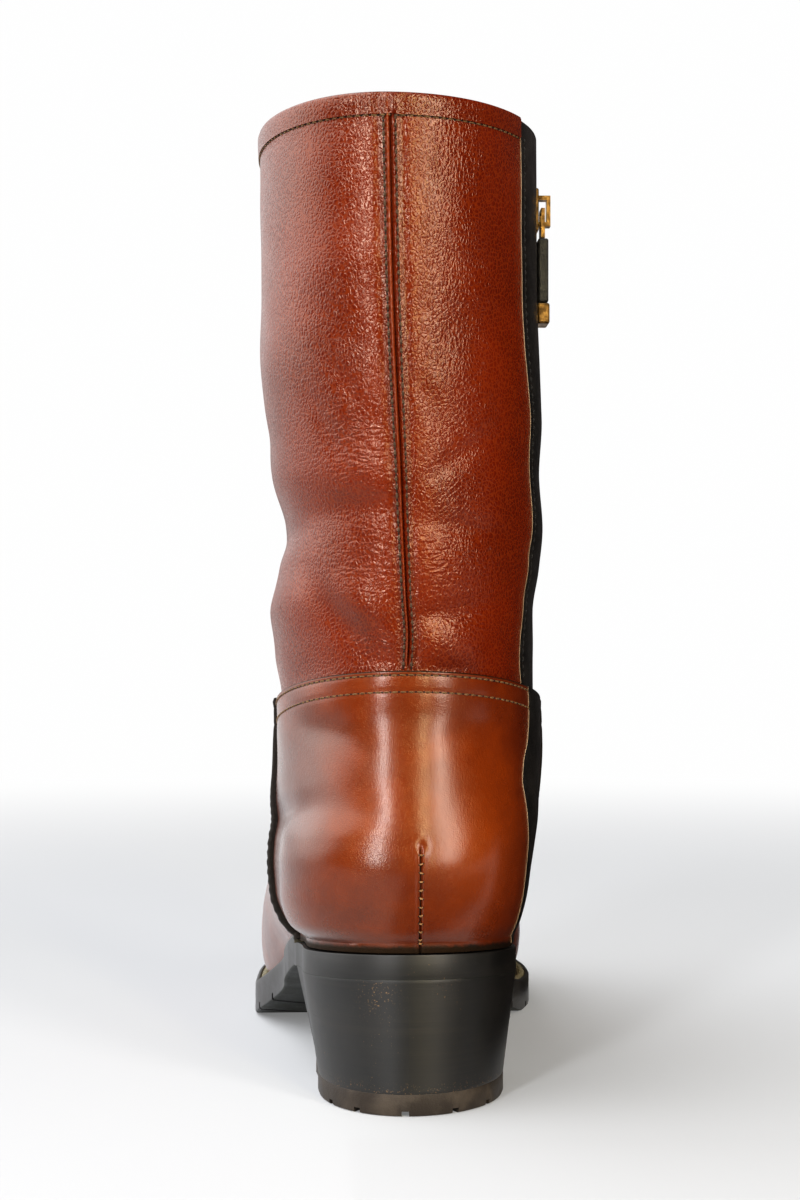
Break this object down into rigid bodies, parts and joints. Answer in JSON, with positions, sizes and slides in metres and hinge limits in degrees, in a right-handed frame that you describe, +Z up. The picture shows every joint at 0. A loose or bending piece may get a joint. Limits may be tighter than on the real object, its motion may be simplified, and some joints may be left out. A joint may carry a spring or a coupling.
{
  "type": "boot",
  "caption": "Tall leather boot for the left foot with a smooth back panel, stacked block heel, welted lug sole and a zip on the inner side",
  "frame": {"origin": "on the floor, under the middle of the boot's box", "axes": "+Z up, +Y from heel to toe, +X to the inner (medial) side of the left foot"},
  "size_m": [0.1062, 0.269, 0.302],
  "materials": {
    "upper_leather": "grained, satin",
    "counter_leather": "smooth, glossy",
    "insole_leather": "plain, matt",
    "welt_leather": "waxed, satin",
    "sole_rubber": "satin",
    "heel_leather": "stacked, burnished",
    "lift_rubber": "matt",
    "zip_tape": "woven",
    "zip_metal": "antique",
    "pull_leather": "satin"
  },
  "bodies": {
    "boot": {"upper": "upper_leather", "heel_counter": "counter_leather", "insole": "insole_leather", "welt": "welt_leather", "outsole": "sole_rubber", "heel_block": "heel_leather", "top_lift": "lift_rubber", "zip_tape": "zip_tape", "zip_chain": "zip_metal", "zip_slider": "zip_metal"},
    "zip_pull": {"zip_pull_link": "zip_metal", "zip_pull_tab": "pull_leather", "zip_pull_end": "zip_metal"}
  },
  "joints": [
    {"name": "zip_pull_swing", "type": "hinge", "parent": "boot", "child": "zip_pull", "pos_m": [0.04383, -0.07134, 0.27965], "axis": [0, -1, 0], "range_deg": [0, 120]}
  ]
}
